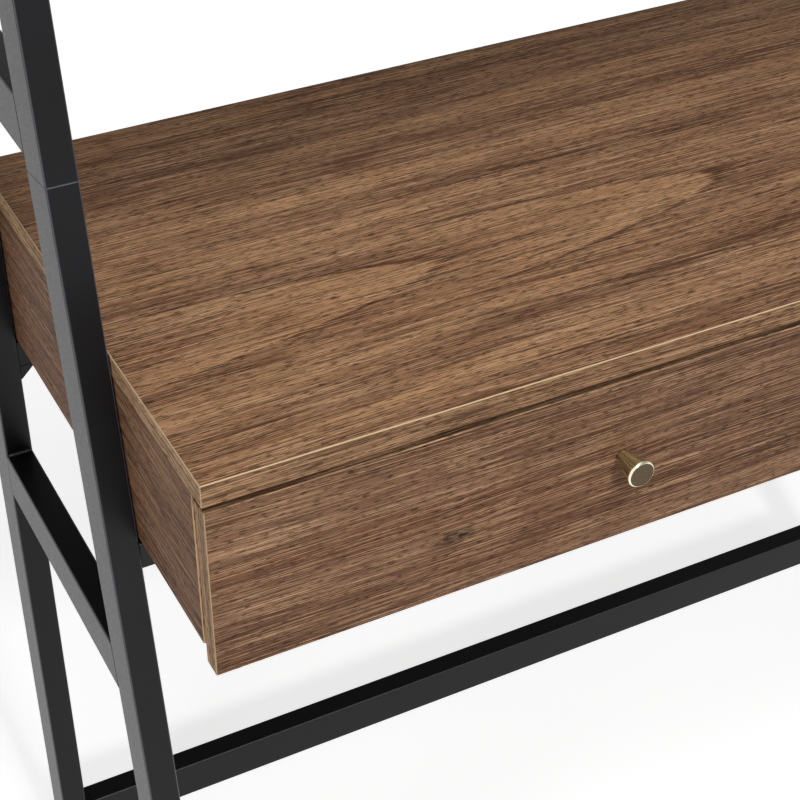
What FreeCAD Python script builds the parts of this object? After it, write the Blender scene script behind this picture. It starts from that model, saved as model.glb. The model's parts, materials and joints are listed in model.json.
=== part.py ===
import FreeCAD, Part

import os
import re

import Sketcher

# Ladder desk: two leaning ladder frames of flat steel tube, a desk box with one wide drawer and two shelves.
# Frame of the part: +X to the right seen from the front, +Y to the back, +Z up, floor at zero.
# The origin lies on the floor, under the middle of the overall width and depth.

# Driving dimensions in millimetres and degrees: word, value, meaning
SIZES = [
    ("overall_width", 914.0, "over the outer faces of the two ladder frames"),
    ("overall_height", 1829.0, "floor to the top of the post caps"),
    ("desk_height", 762.0, "floor to the writing surface"),
    ("desk_depth", 425.0, "front to back of the desk top"),
    ("top_thickness", 16.0, "board of the desk top"),
    ("panel_thickness", 15.0, "board of the desk box's sides and back"),
    ("box_height", 117.5, "height of those sides under the top"),
    ("board_ease", 0.6, "small chamfer on the edges of the boards"),
    ("side_gap", 1.0, "between a board's end and the ladder frame"),
    ("tube_width", 21.0, "narrow side of the steel tube"),
    ("tube_depth", 38.0, "wide side of the steel tube"),
    ("tube_wall", 1.5, "steel thickness of the tube"),
    ("tube_corner", 1.5, "outer corner radius of the tube"),
    ("post_setback", 145.5, "desk front to the front posts, at the writing surface"),
    ("top_depth", 118.0, "front posts' front to rear posts' back, at the overall height"),
    ("rear_overhang", 2.0, "back edge of the desk behind the rear posts"),
    ("seam_rise", 114.0, "writing surface up to the joint in the posts"),
    ("seam_ease", 0.5, "small chamfer round both tube ends of that joint"),
    ("seam_rung_rise", 3.0, "joint up to the lowest rung of the upper frame"),
    ("lower_rung_height", 525.5, "floor to the top of the rung under the desk"),
    ("stretcher_height", 114.0, "floor to the top of the low stretcher"),
    ("upper_shelf_drop", 349.0, "overall height down to the top of the upper shelf"),
    ("lower_shelf_lift", 29.0, "lower shelf above halfway from the desk to the upper shelf"),
    ("shelf_thickness", 15.0, "board of the shelves"),
    ("top_rung_drop", 20.0, "top of the posts down to the top rung"),
    ("foot_height", 6.0, "plastic foot under a leg"),
    ("cap_thickness", 2.5, "plastic cap on a post"),
    ("plug_length", 15.0, "stem of a foot or cap inside the tube"),
    ("insert_clearance", 0.3, "between a tube's bore and what slides into it"),
    ("sleeve_length", 120.0, "sleeve that joins a leg and a post"),
    ("sleeve_wall", 2.0, "steel thickness of that sleeve"),
    ("sleeve_screw_drop", 25.0, "joint down to its locking screw"),
    ("spigot_length", 40.0, "spigot inside each end of a cross tube"),
    ("gusset_leg", 12.0, "legs of the triangle under the rear desk rail"),
    ("gusset_thickness", 4.0, "plate of that triangle"),
    ("spacer_thickness", 2.5, "nylon spacer between a desk rail and the desk box"),
    ("spacer_radius", 7.0, "outer radius of the spacer"),
    ("bolt_radius", 3.0, "shank of the frame screws"),
    ("bolt_head_radius", 5.2, "head of the frame screws"),
    ("bolt_head_height", 2.8, "head of the frame screws"),
    ("socket_width", 4.0, "hexagon socket in that head, across its flats"),
    ("socket_depth", 1.6, "hexagon socket in that head"),
    ("bolt_grip", 24.0, "length of a desk screw inside the side panel"),
    ("dowel_radius", 4.0, "wooden dowels of the desk box"),
    ("dowel_rise", 9.0, "length of a dowel or cam bolt inside the desk top"),
    ("dowel_drop", 20.0, "length of a dowel inside the panel under it"),
    ("dowel_inset", 50.0, "end of a panel to its dowel"),
    ("cam_radius", 7.5, "cam lock in a side panel"),
    ("cam_depth", 12.0, "cam lock in a side panel"),
    ("cam_drop", 24.0, "desk top down to the middle of a cam lock"),
    ("cam_inset", 95.0, "end of a side panel to its cam lock"),
    ("drawer_dowel_radius", 3.0, "wooden dowels of the drawer"),
    ("drawer_dowel_bite", 7.0, "length of a drawer dowel in a board's face"),
    ("drawer_dowel_drop", 20.0, "length of a drawer dowel in a board's end"),
    ("drawer_dowel_edge", 25.0, "edge of a drawer side to its dowel"),
    ("screw_radius", 2.0, "shank of the shelf and knob screws"),
    ("screw_head_radius", 4.0, "head of the shelf and knob screws"),
    ("screw_head_height", 2.2, "head of the shelf and knob screws"),
    ("shelf_screw_grip", 10.0, "length of a shelf screw inside the shelf"),
    ("hole_clearance", 0.2, "a drilled hole's radius over its screw's"),
    ("bracket_leg", 20.0, "legs of a shelf bracket's angle"),
    ("bracket_wall", 2.0, "steel thickness of that angle"),
    ("bracket_length", 64.0, "length of a shelf bracket"),
    ("bracket_screw_pitch", 38.0, "between the two screws of a bracket"),
    ("reveal_gap", 4.0, "shadow gap between the top and the drawer front"),
    ("drawer_front_height", 127.5, "height of the drawer front"),
    ("drawer_front_thickness", 15.0, "board of the drawer front"),
    ("drawer_front_inset", 1.0, "drawer front's end inside the desk's end"),
    ("drawer_stop_gap", 0.5, "shut drawer front to the ends of the side panels"),
    ("drawer_board", 12.0, "board of the drawer's sides and back"),
    ("drawer_top_gap", 20.0, "desk top down to the drawer's sides"),
    ("drawer_low_gap", 8.5, "underside of the desk box up to the drawer's sides"),
    ("drawer_back_gap", 25.0, "end of the shut drawer to the back panel"),
    ("drawer_bottom_thickness", 4.0, "hardboard bottom of the drawer"),
    ("groove_depth", 5.0, "groove that holds the drawer bottom"),
    ("groove_rise", 9.0, "groove above the lower edge of the drawer's sides"),
    ("groove_play", 0.4, "groove height over the drawer bottom's"),
    ("slide_space", 12.7, "between a side panel and the drawer's side"),
    ("slide_height", 45.0, "height of the fixed slide rail"),
    ("slide_setback", 2.0, "drawer front's back to the slide's front end"),
    ("slide_tail", 18.0, "slide's rear end to the end of the drawer's sides"),
    ("slide_wall", 1.2, "rolled steel of the slide members"),
    ("slide_clearance", 0.4, "running gap between the slide members"),
    ("knob_inset", 286.3, "desk's end to the middle of a knob"),
    ("knob_drop", 59.3, "top of the drawer front down to the middle of a knob"),
    ("knob_length", 23.5, "how far a knob stands out"),
    ("knob_base_radius", 4.5, "knob where it meets the drawer front"),
    ("knob_rim_radius", 9.7, "knob at its outer rim"),
    ("knob_rim_length", 1.8, "end of the cone to the knob's face"),
    ("knob_edge", 1.0, "bevel round the knob's face"),
    ("knob_thread_depth", 12.0, "threaded hole in the knob"),
    ("knob_screw_bite", 9.0, "length of the screw inside that hole"),
]
WORDS = {word for word, value, meaning in SIZES}

# Places and lengths that follow from the driving dimensions
FORMULAS = {
    "desk_width": "overall_width - 2 * (tube_width + side_gap)",
    "inner_span": "overall_width - 2 * tube_width",
    "overall_depth": "knob_length + desk_depth",
    "front_face": "knob_length - overall_depth / 2",
    "back_edge": "front_face + desk_depth",
    "rear_post_back": "back_edge - rear_overhang",
    "rear_post_front": "rear_post_back - tube_depth",
    "lean_run": "rear_post_back - top_depth - front_face - post_setback",
    "lean_angle": "atan(lean_run / (overall_height - desk_height))",
    "post_foot": "front_face + post_setback - desk_height * tan(lean_angle)",
    "post_reach": "tube_depth / cos(lean_angle)",
    "seam_height": "desk_height + seam_rise",
    "post_top": "overall_height - cap_thickness",
    "upper_shelf_height": "overall_height - upper_shelf_drop",
    "lower_shelf_height": "(desk_height + upper_shelf_height) / 2 + lower_shelf_lift",
    "seam_rung_top": "seam_height + seam_rung_rise + tube_depth",
    "top_rung_height": "post_top - top_rung_drop",
    "top_underside": "desk_height - top_thickness",
    "box_underside": "top_underside - box_height",
    "rail_top": "box_underside - spacer_thickness",
    "rail_underside": "rail_top - tube_width",
    "rail_middle": "rail_top - tube_width / 2",
    "front_rail_front": "post_foot + rail_middle * tan(lean_angle)",
    "insert_inset": "tube_wall + insert_clearance",
    "panel_front": "front_face + drawer_front_thickness + drawer_stop_gap",
    "panel_inner": "desk_width / 2 - panel_thickness",
    "panel_middle": "desk_width / 2 - panel_thickness / 2",
    "drawer_front_back": "front_face + drawer_front_thickness",
    "drawer_front_top": "top_underside - reveal_gap",
    "drawer_front_underside": "drawer_front_top - drawer_front_height",
    "drawer_half": "panel_inner - slide_space",
    "drawer_inner": "drawer_half - drawer_board",
    "drawer_side_top": "top_underside - drawer_top_gap",
    "drawer_side_underside": "box_underside + drawer_low_gap",
    "drawer_back_end": "back_edge - panel_thickness - drawer_back_gap",
    "drawer_length": "drawer_back_end - drawer_front_back",
    "groove_floor": "drawer_side_underside + groove_rise",
    "groove_ceiling": "groove_floor + drawer_bottom_thickness + groove_play",
    "slide_middle": "(drawer_side_top + drawer_side_underside) / 2",
    "slide_front": "drawer_front_back + slide_setback",
    "slide_length": "drawer_length - slide_setback - slide_tail",
    "slide_step": "slide_wall + slide_clearance",
    "knob_centre": "desk_width / 2 - knob_inset",
    "knob_level": "drawer_front_top - knob_drop",
    "bolt_hole": "bolt_radius + hole_clearance",
    "screw_hole": "screw_radius + hole_clearance",
    "dowel_hole": "dowel_radius + hole_clearance",
    "cam_hole": "cam_radius + hole_clearance",
    "cam_level": "top_underside - cam_drop",
    "drawer_dowel_hole": "drawer_dowel_radius + hole_clearance",
    "drawer_side_middle": "drawer_half - drawer_board / 2",
}

SIDES = (("left", -1), ("right", 1))
ALONG_X = FreeCAD.Vector(1, 0, 0)
ALONG_Y = FreeCAD.Vector(0, 1, 0)
ALONG_Z = FreeCAD.Vector(0, 0, 1)
LEAN_BACK = FreeCAD.Vector(-1, 0, 0)

doc = FreeCAD.newDocument("ladder_desk")
sheet = doc.addObject("Spreadsheet::Sheet", "Sizes")
for row, (word, value, meaning) in enumerate(SIZES, start=1):
    sheet.set(f"A{row}", word)
    sheet.set(f"B{row}", str(value))
    sheet.setAlias(f"B{row}", word)
    sheet.set(f"C{row}", meaning)
doc.recompute()

parts = []


def cells(formula):
    """Spell a formula out in cells of the sheet, with each named place in brackets."""

    def spell(match):
        word = match.group(0)
        if word in FORMULAS:
            return f"({cells(FORMULAS[word])})"
        return f"Sizes.{word}" if word in WORDS else word

    return re.sub(r"[a-z][a-z_]*", spell, formula)


def number(formula):
    """What a formula comes to now."""
    result = sheet.evalExpression(cells(formula))
    return float(getattr(result, "Value", result))


def post_front(height):
    """Where the front face of the leaning posts stands at a height."""
    return f"(post_foot + ({height}) * tan(lean_angle))"


def post_back(height):
    """Where the rear face of the leaning posts stands at a height."""
    return f"({post_front(height)} + post_reach)"


def sub_part(thing, label):
    """Keep an object as a sub-part of the desk, under its own name."""
    thing.Label = label
    parts.append(thing)
    return thing


def new_body(name, place=("0", "0", "0"), about=ALONG_X, angle="0"):
    """An empty body at a place, turned about a direction by an angle."""
    body = doc.addObject("PartDesign::Body", name)
    body.Placement = FreeCAD.Placement(FreeCAD.Vector(), FreeCAD.Rotation(about, number(angle)))
    body.setExpression("Placement.Rotation.Angle", cells(angle))
    for axis, formula in zip("xyz", place):
        body.setExpression(f"Placement.Base.{axis}", cells(formula))
    return body


def new_sketch(body, role, level="0"):
    """A sketch on one of the body's own planes, moved along that plane's normal to a level."""
    sketch = body.newObject("Sketcher::SketchObject", f"{body.Name}_sketch")
    plane = next(feature for feature in body.Origin.OriginFeatures if feature.Role == role)
    sketch.AttachmentSupport = (plane, [""])
    sketch.MapMode = "FlatFace"
    sketch.setExpression("AttachmentOffset.Base.z", cells(level))
    return sketch


def hold(sketch, kind, corner, formula):
    """Fix a corner's distance from the sketch's origin, across or up."""
    constraint = Sketcher.Constraint(kind, -1, 1, corner, 1, number(formula))
    index = sketch.addConstraint(constraint)
    sketch.setExpression(f"Constraints[{index}]", cells(formula))


def outline(sketch, points):
    """A closed outline of straight lines through corners given as pairs of formulas."""
    first = sketch.GeometryCount
    corners = [FreeCAD.Vector(number(across), number(up), 0) for across, up in points]
    count = len(corners)
    for k in range(count):
        sketch.addGeometry(Part.LineSegment(corners[k], corners[(k + 1) % count]))
    for k in range(count):
        after = first + (k + 1) % count
        sketch.addConstraint(Sketcher.Constraint("Coincident", first + k, 2, after, 1))
    for k, (across, up) in enumerate(points):
        hold(sketch, "DistanceX", first + k, across)
        hold(sketch, "DistanceY", first + k, up)
    return sketch


def rectangle(low_across, low_up, high_across, high_up):
    """The four corners of an upright rectangle."""
    return [(low_across, low_up), (high_across, low_up), (high_across, high_up), (low_across, high_up)]


def circle(sketch, across, up, radius):
    """A circle held by its centre and its radius."""
    centre = FreeCAD.Vector(number(across), number(up), 0)
    index = sketch.addGeometry(Part.Circle(centre, FreeCAD.Vector(0, 0, 1), number(radius)))
    for kind, formula in (("DistanceX", across), ("DistanceY", up)):
        held = sketch.addConstraint(Sketcher.Constraint(kind, -1, 1, index, 3, number(formula)))
        sketch.setExpression(f"Constraints[{held}]", cells(formula))
    sized = sketch.addConstraint(Sketcher.Constraint("Radius", index, number(radius)))
    sketch.setExpression(f"Constraints[{sized}]", cells(radius))
    return sketch


def pad(body, sketch, length, symmetric=False, reverse=False):
    """Thicken a sketch into a solid."""
    feature = body.newObject("PartDesign::Pad", f"{body.Name}_pad")
    feature.Profile = sketch
    feature.setExpression("Length", cells(length))
    feature.SideType = "Symmetric" if symmetric else "One side"
    feature.Reversed = reverse
    doc.recompute()
    return feature


def cut(body, sketch, length=None, symmetric=False, reverse=False):
    """Cut a sketch out of the solid, to a depth or right through, and make sure that it took some away."""
    before = body.Shape.Volume
    feature = body.newObject("PartDesign::Pocket", f"{body.Name}_cut")
    feature.Profile = sketch
    if length:
        feature.setExpression("Length", cells(length))
    else:
        feature.Type = "ThroughAll"
    feature.SideType = "Symmetric" if symmetric else "One side"
    feature.Reversed = reverse
    doc.recompute()
    if body.Shape.Volume >= before:
        raise RuntimeError(f"{feature.Name} cuts nothing")
    return feature


def edges_along(feature, direction):
    """Names of the straight edges of a feature that run along a direction."""
    names = []
    for number_of_edge, edge in enumerate(feature.Shape.Edges, start=1):
        run = edge.tangentAt(edge.FirstParameter)
        if abs(run.dot(direction)) > 0.999:
            names.append(f"Edge{number_of_edge}")
    return names


def edges_at(feature, height):
    """Names of the edges of a feature that lie at one height of its own body."""
    names = []
    for number_of_edge, edge in enumerate(feature.Shape.Edges, start=1):
        if all(abs(vertex.Z - height) < 0.001 for vertex in edge.Vertexes):
            names.append(f"Edge{number_of_edge}")
    return names


def dress(body, kind, feature, edges, measure, size):
    """Round or chamfer named edges of a feature."""
    dressed = body.newObject(f"PartDesign::{kind}", f"{body.Name}_{kind.lower()}")
    dressed.Base = (feature, edges)
    dressed.setExpression(measure, cells(size))
    doc.recompute()
    return dressed


def round_edges(body, feature, direction):
    """Round the corners of a tube along its length."""
    return dress(body, "Fillet", feature, edges_along(feature, direction), "Radius", "tube_corner")


def blind_hole(body, role, level, centre, radius, depth, reverse=False):
    """A round hole with a floor, from a level on one of the body's planes against its normal, or along it."""
    sketch = circle(new_sketch(body, role, level), *centre, radius)
    cut(body, sketch, f"{depth} + hole_clearance", reverse=reverse)


def group(label, members):
    """Identical small pieces, kept together as one sub-part of separate solids."""
    together = doc.addObject("Part::Compound", label)
    together.Links = members
    return sub_part(together, label)


def outer_face(side):
    """Low X of a ladder frame's tubes, on the left or the right side."""
    return "-overall_width / 2" if side < 0 else "overall_width / 2 - tube_width"


def stands(lean):
    """Where a tube of the front or the rear pair stands: its front face on the floor."""
    return "post_foot" if lean == "lean_angle" else "rear_post_front"


# Posts and legs

def upright(label, side, lean, ends):
    """A leg or post: its side view is padded to the tube's width, rounded and bored along its length.

    Heights are measured along the tube. A level cut rises to the back by the tangent of the lean.
    The end at the joint is chamfered, so that the joint shows as a fine groove.
    """
    body = new_body(label, (outer_face(side), stands(lean), "0"), LEAN_BACK, lean)
    side_view = outline(new_sketch(body, "YZ_Plane"), ends)
    solid = pad(body, side_view, "tube_width")
    rounded = round_edges(body, solid, ALONG_Z)
    joint_edges = edges_at(rounded, number(level("seam_height", lean)))
    dress(body, "Chamfer", rounded, joint_edges, "Size", "seam_ease")
    bore = rectangle("tube_wall", "tube_wall", "tube_width - tube_wall", "tube_depth - tube_wall")
    cut(body, outline(new_sketch(body, "XY_Plane"), bore), symmetric=True)
    return sub_part(body, label)


def level(height, lean, depth="0"):
    """Length along a leaning tube to a level height, at a depth behind the tube's front face."""
    return f"(({height}) / cos({lean}) + ({depth}) * tan({lean}))"


def screw_hole_in_back(body, lean):
    """The joint's locking screw goes in through the rear wall, where nobody sees it."""
    sketch = new_sketch(body, "XZ_Plane", "-tube_depth / 2")
    drop = f"{level('seam_height', lean)} - sleeve_screw_drop"
    cut(body, circle(sketch, "tube_width / 2", drop, "bolt_hole"))


def leg(label, side, lean):
    """The lower length of an upright: level on its foot, square at the joint."""
    foot_front = level("foot_height", lean)
    foot_back = level("foot_height", lean, "tube_depth")
    seam = level("seam_height", lean)
    ends = [("0", foot_front), ("tube_depth", foot_back), ("tube_depth", seam), ("0", seam)]
    screw_hole_in_back(upright(label, side, lean, ends), lean)


def post(label, side, lean):
    """The upper length of an upright: square at the joint, level under its cap."""
    seam = level("seam_height", lean)
    top_front = level("post_top", lean)
    top_back = level("post_top", lean, "tube_depth")
    ends = [("0", seam), ("tube_depth", seam), ("tube_depth", top_back), ("0", top_front)]
    upright(label, side, lean, ends)


def sleeve(name, side, lean):
    """A short tube inside the joint of a leg and a post, with a hole for the locking screw."""
    place = (f"{outer_face(side)} + insert_inset", stands(lean), "0")
    body = new_body(name, place, LEAN_BACK, lean)
    seam = level("seam_height", lean)
    side_view = rectangle(
        "insert_inset",
        f"{seam} - sleeve_length / 2",
        "tube_depth - insert_inset",
        f"{seam} + sleeve_length / 2",
    )
    pad(body, outline(new_sketch(body, "YZ_Plane"), side_view), "tube_width - 2 * insert_inset")
    bore = rectangle(
        "sleeve_wall",
        "insert_inset + sleeve_wall",
        "tube_width - 2 * insert_inset - sleeve_wall",
        "tube_depth - insert_inset - sleeve_wall",
    )
    cut(body, outline(new_sketch(body, "XY_Plane"), bore), symmetric=True)
    sketch = new_sketch(body, "XZ_Plane", "-tube_depth / 2")
    drop = f"{seam} - sleeve_screw_drop"
    cut(body, circle(sketch, "tube_width / 2 - insert_inset", drop, "bolt_hole"))
    return body


def turned(name, place, half_view, about=ALONG_X, angle="0", role="XZ_Plane"):
    """A round piece: half its side view, turned about its sketch's upright axis and laid at an angle."""
    body = new_body(name, place, about, angle)
    sketch = outline(new_sketch(body, role), half_view)
    feature = body.newObject("PartDesign::Revolution", f"{body.Name}_turning")
    feature.Profile = sketch
    feature.ReferenceAxis = (sketch, ["V_Axis"])
    feature.Angle = 360
    doc.recompute()
    return body


def screw_outline(radius, head_radius, head_height, length):
    """Half a screw seen from the side: its head below zero, its shank above."""
    return [
        ("0", f"-{head_height}"),
        (head_radius, f"-{head_height}"),
        (head_radius, "0"),
        (radius, "0"),
        (radius, length),
        ("0", length),
    ]


def socket(screw, role, head, reverse):
    """A hexagon socket in a screw's head, as deep as a key needs."""
    corner = "socket_width / sqrt(3)"
    hexagon = [
        (corner, "0"),
        (f"{corner} / 2", "socket_width / 2"),
        (f"-{corner} / 2", "socket_width / 2"),
        (f"-{corner}", "0"),
        (f"-{corner} / 2", "-socket_width / 2"),
        (f"{corner} / 2", "-socket_width / 2"),
    ]
    cut(screw, outline(new_sketch(screw, role, head), hexagon), "socket_depth", reverse=reverse)
    return screw


def joint_screw(name, side, lean):
    """The locking screw of a joint, from the rear face of the leg into the sleeve."""
    along = f"({level('seam_height', lean)} - sleeve_screw_drop)"
    behind = f"{stands(lean)} + tube_depth * cos({lean}) + {along} * sin({lean})"
    up = f"{along} * cos({lean}) - tube_depth * sin({lean})"
    place = (f"{outer_face(side)} + tube_width / 2", behind, up)
    shank = "tube_wall + insert_clearance + sleeve_wall + bolt_radius"
    half_view = [
        ("0", "bolt_head_height"),
        ("bolt_head_radius", "bolt_head_height"),
        ("bolt_head_radius", "0"),
        ("bolt_radius", "0"),
        ("bolt_radius", f"-({shank})"),
        ("0", f"-({shank})"),
    ]
    screw = turned(name, place, half_view, LEAN_BACK, lean, "XY_Plane")
    return socket(screw, "XZ_Plane", "-bolt_head_height", reverse=True)


def plug(body, lean, low, high, seat, stem):
    """A plastic end: a plate as large as the tube and a stem in its bore.

    The plate lies between two level heights, and the stem runs from its seat along the tube.
    """
    plate = [
        ("0", level(low, lean)),
        ("tube_depth", level(low, lean, "tube_depth")),
        ("tube_depth", level(high, lean, "tube_depth")),
        ("0", level(high, lean)),
    ]
    solid = pad(body, outline(new_sketch(body, "YZ_Plane"), plate), "tube_width")
    round_edges(body, solid, ALONG_Z)
    near = "insert_inset"
    far = "tube_depth - insert_inset"
    stem_view = [
        (near, level(seat, lean, near)),
        (far, level(seat, lean, far)),
        (far, f"{level(seat, lean, far)} + {stem}"),
        (near, f"{level(seat, lean, near)} + {stem}"),
    ]
    stem_sketch = outline(new_sketch(body, "YZ_Plane", "insert_inset"), stem_view)
    pad(body, stem_sketch, "tube_width - 2 * insert_inset")


def foot(label, side, lean):
    """A plastic foot, level on the floor."""
    body = new_body(label, (outer_face(side), stands(lean), "0"), LEAN_BACK, lean)
    plug(body, lean, "0", "foot_height", "foot_height", "plug_length")
    return sub_part(body, label)


def cap(name, side, lean):
    """A plastic cap, level on top of a post."""
    body = new_body(name, (outer_face(side), stands(lean), "0"), LEAN_BACK, lean)
    plug(body, lean, "post_top", "overall_height", "post_top", "(-plug_length)")
    return body


sleeves = []
joint_screws = []
caps = []
for side_name, side in SIDES:
    for pair_name, lean in (("front", "lean_angle"), ("rear", "0")):
        corner = f"{side_name}_{pair_name}"
        leg(f"{corner}_leg", side, lean)
        post(f"{corner}_post", side, lean)
        foot(f"{corner}_foot", side, lean)
        sleeves.append(sleeve(f"{corner}_sleeve", side, lean))
        joint_screws.append(joint_screw(f"{corner}_joint_screw", side, lean))
        caps.append(cap(f"{corner}_cap", side, lean))
group("post_sleeves", sleeves)
group("joint_screws", joint_screws)
group("post_caps", caps)


# Rungs between the leaning and the upright post

RUNGS = {
    "lower_rung": "lower_rung_height",
    "joint_rung": "seam_rung_top",
    "lower_shelf_rung": "lower_shelf_height",
    "upper_shelf_rung": "upper_shelf_height",
    "top_rung": "top_rung_height",
}


def rung(label, side, top):
    """A level tube whose front end is cut to the lean of the front post."""
    bottom = f"({top} - tube_depth)"
    body = new_body(label, (outer_face(side), "0", "0"))
    side_view = [
        (post_back(bottom), bottom),
        ("rear_post_front", bottom),
        ("rear_post_front", top),
        (post_back(top), top),
    ]
    solid = pad(body, outline(new_sketch(body, "YZ_Plane"), side_view), "tube_width")
    round_edges(body, solid, ALONG_Y)
    bore = rectangle("tube_wall", f"{bottom} + tube_wall", "tube_width - tube_wall", f"{top} - tube_wall")
    cut(body, outline(new_sketch(body, "XZ_Plane"), bore), symmetric=True)
    sub_part(body, label)


for side_name, side in SIDES:
    for rung_name, top in RUNGS.items():
        rung(f"{side_name}_{rung_name}", side, top)


# Cross tubes between the two ladder frames

CROSS_TUBES = {
    "front_desk_rail": ("front_rail_front", "rail_top", "tube_depth", "tube_width"),
    "rear_desk_rail": ("rear_post_front", "rail_top", "tube_depth", "tube_width"),
    "low_stretcher": ("rear_post_front", "stretcher_height", "tube_width", "tube_depth"),
    "top_stretcher": ("rear_post_front", "top_rung_height", "tube_width", "tube_depth"),
}


def spigot_middle(side):
    return "-panel_middle" if side < 0 else "panel_middle"


def cross_tube(label, front, top, depth, height, through):
    """A tube from one ladder frame to the other, drilled from below at both ends."""
    body = new_body(label)
    section = rectangle(front, f"{top} - {height}", f"{front} + {depth}", top)
    solid = pad(body, outline(new_sketch(body, "YZ_Plane"), section), "inner_span", symmetric=True)
    round_edges(body, solid, ALONG_X)
    bore = rectangle(
        f"{front} + tube_wall",
        f"{top} - {height} + tube_wall",
        f"{front} + {depth} - tube_wall",
        f"{top} - tube_wall",
    )
    cut(body, outline(new_sketch(body, "YZ_Plane"), bore), symmetric=True)
    for side_name, side in SIDES:
        sketch = new_sketch(body, "XY_Plane", f"{top} - {height} / 2")
        hole = circle(sketch, spigot_middle(side), f"{front} + {depth} / 2", "bolt_hole")
        cut(body, hole, symmetric=through)
    sub_part(body, label)


def spigot(name, side, front, top, depth, height):
    """The block on a post's inner face that a cross tube slides over, drilled for its screw."""
    body = new_body(name)
    section = rectangle(
        f"{front} + insert_inset",
        f"{top} - {height} + insert_inset",
        f"{front} + {depth} - insert_inset",
        f"{top} - insert_inset",
    )
    start = "-inner_span / 2" if side < 0 else "inner_span / 2 - spigot_length"
    pad(body, outline(new_sketch(body, "YZ_Plane", start), section), "spigot_length")
    sketch = new_sketch(body, "XY_Plane", f"{top} - {height} / 2")
    cut(body, circle(sketch, spigot_middle(side), f"{front} + {depth} / 2", "bolt_hole"), symmetric=True)
    return body


def screw_from_below(name, side, front, top, depth, height, length):
    """A screw with its head under a cross tube."""
    place = (spigot_middle(side), f"{front} + {depth} / 2", f"{top} - {height}")
    points = screw_outline("bolt_radius", "bolt_head_radius", "bolt_head_height", length)
    return socket(turned(name, place, points), "XY_Plane", "-bolt_head_height", reverse=True)


def spacer(name, side, front, depth):
    """A nylon ring that holds the desk box just clear of its rail."""
    place = (spigot_middle(side), f"{front} + {depth} / 2", "rail_top")
    ring = rectangle("bolt_hole", "0", "spacer_radius", "spacer_thickness")
    return turned(name, place, ring)


def gusset(label, side):
    """A triangular plate in the corner under the rear desk rail."""
    body = new_body(label)
    corner = "-inner_span / 2" if side < 0 else "inner_span / 2"
    reach = "gusset_leg" if side < 0 else "(-gusset_leg)"
    triangle = [
        (corner, "rail_underside"),
        (f"{corner} + {reach}", "rail_underside"),
        (corner, "rail_underside - gusset_leg"),
    ]
    sketch = outline(new_sketch(body, "XZ_Plane", "-rear_post_front"), triangle)
    pad(body, sketch, "gusset_thickness", reverse=True)
    sub_part(body, label)


spigots = []
desk_screws = []
stretcher_screws = []
spacers = []
for tube_name, (front, top, depth, height) in CROSS_TUBES.items():
    carries_desk = top == "rail_top"
    cross_tube(tube_name, front, top, depth, height, through=carries_desk)
    for side_name, side in SIDES:
        name = f"{side_name}_{tube_name}"
        spigots.append(spigot(f"{name}_spigot", side, front, top, depth, height))
        length = f"{height} + spacer_thickness + bolt_grip" if carries_desk else f"{height} / 2"
        screw = screw_from_below(f"{name}_screw", side, front, top, depth, height, length)
        if carries_desk:
            desk_screws.append(screw)
            spacers.append(spacer(f"{name}_spacer", side, front, depth))
        else:
            stretcher_screws.append(screw)
group("rail_spigots", spigots)
group("desk_screws", desk_screws)
group("stretcher_screws", stretcher_screws)
group("desk_spacers", spacers)
for side_name, side in SIDES:
    gusset(f"{side_name}_gusset", side)


# Boards

def board(label, low, high, eased=False):
    """A board cut square between two opposite corners. One that shows has all its edges eased."""
    body = new_body(label)
    plan = rectangle(low[0], low[1], high[0], high[1])
    solid = pad(body, outline(new_sketch(body, "XY_Plane", low[2]), plan), f"({high[2]}) - ({low[2]})")
    if eased:
        edges = [f"Edge{number_of_edge + 1}" for number_of_edge in range(len(solid.Shape.Edges))]
        dress(body, "Chamfer", solid, edges, "Size", "board_ease")
    return sub_part(body, label)


def mirrored(side, formula):
    """A distance from the middle, on the left or the right side."""
    return f"(-({formula}))" if side < 0 else f"({formula})"


def side_range(side, inner, outer):
    """Low and high X of something between two distances from the middle, on one side."""
    return (f"-({outer})", f"-({inner})") if side < 0 else (inner, outer)


desk_top = board(
    "desk_top",
    ("-desk_width / 2", "front_face", "top_underside"),
    ("desk_width / 2", "back_edge", "desk_height"),
    eased=True,
)
side_panels = {}
for side_name, side in SIDES:
    low_x, high_x = side_range(side, "panel_inner", "desk_width / 2")
    panel = board(
        f"{side_name}_side_panel",
        (low_x, "panel_front", "box_underside"),
        (high_x, "back_edge", "top_underside"),
        eased=True,
    )
    for front in ("front_rail_front", "rear_post_front"):
        middle = f"{front} + tube_depth / 2"
        centre = (spigot_middle(side), middle)
        blind_hole(panel, "XY_Plane", "box_underside", centre, "bolt_hole", "bolt_grip", reverse=True)
    side_panels[side] = panel
back_panel = board(
    "back_panel",
    ("-panel_inner", "back_edge - panel_thickness", "box_underside"),
    ("panel_inner", "back_edge", "top_underside"),
    eased=True,
)


# Dowels and cam fittings that hold the desk top on its panels

def top_dowel(name, panel, centre):
    """A wooden dowel, half in a panel's upper edge and half in the desk top, with its two holes."""
    blind_hole(panel, "XY_Plane", "top_underside", centre, "dowel_hole", "dowel_drop")
    blind_hole(desk_top, "XY_Plane", "top_underside", centre, "dowel_hole", "dowel_rise", reverse=True)
    half_view = rectangle("0", "-dowel_drop", "dowel_radius", "dowel_rise")
    return turned(name, (*centre, "top_underside"), half_view)


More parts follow.
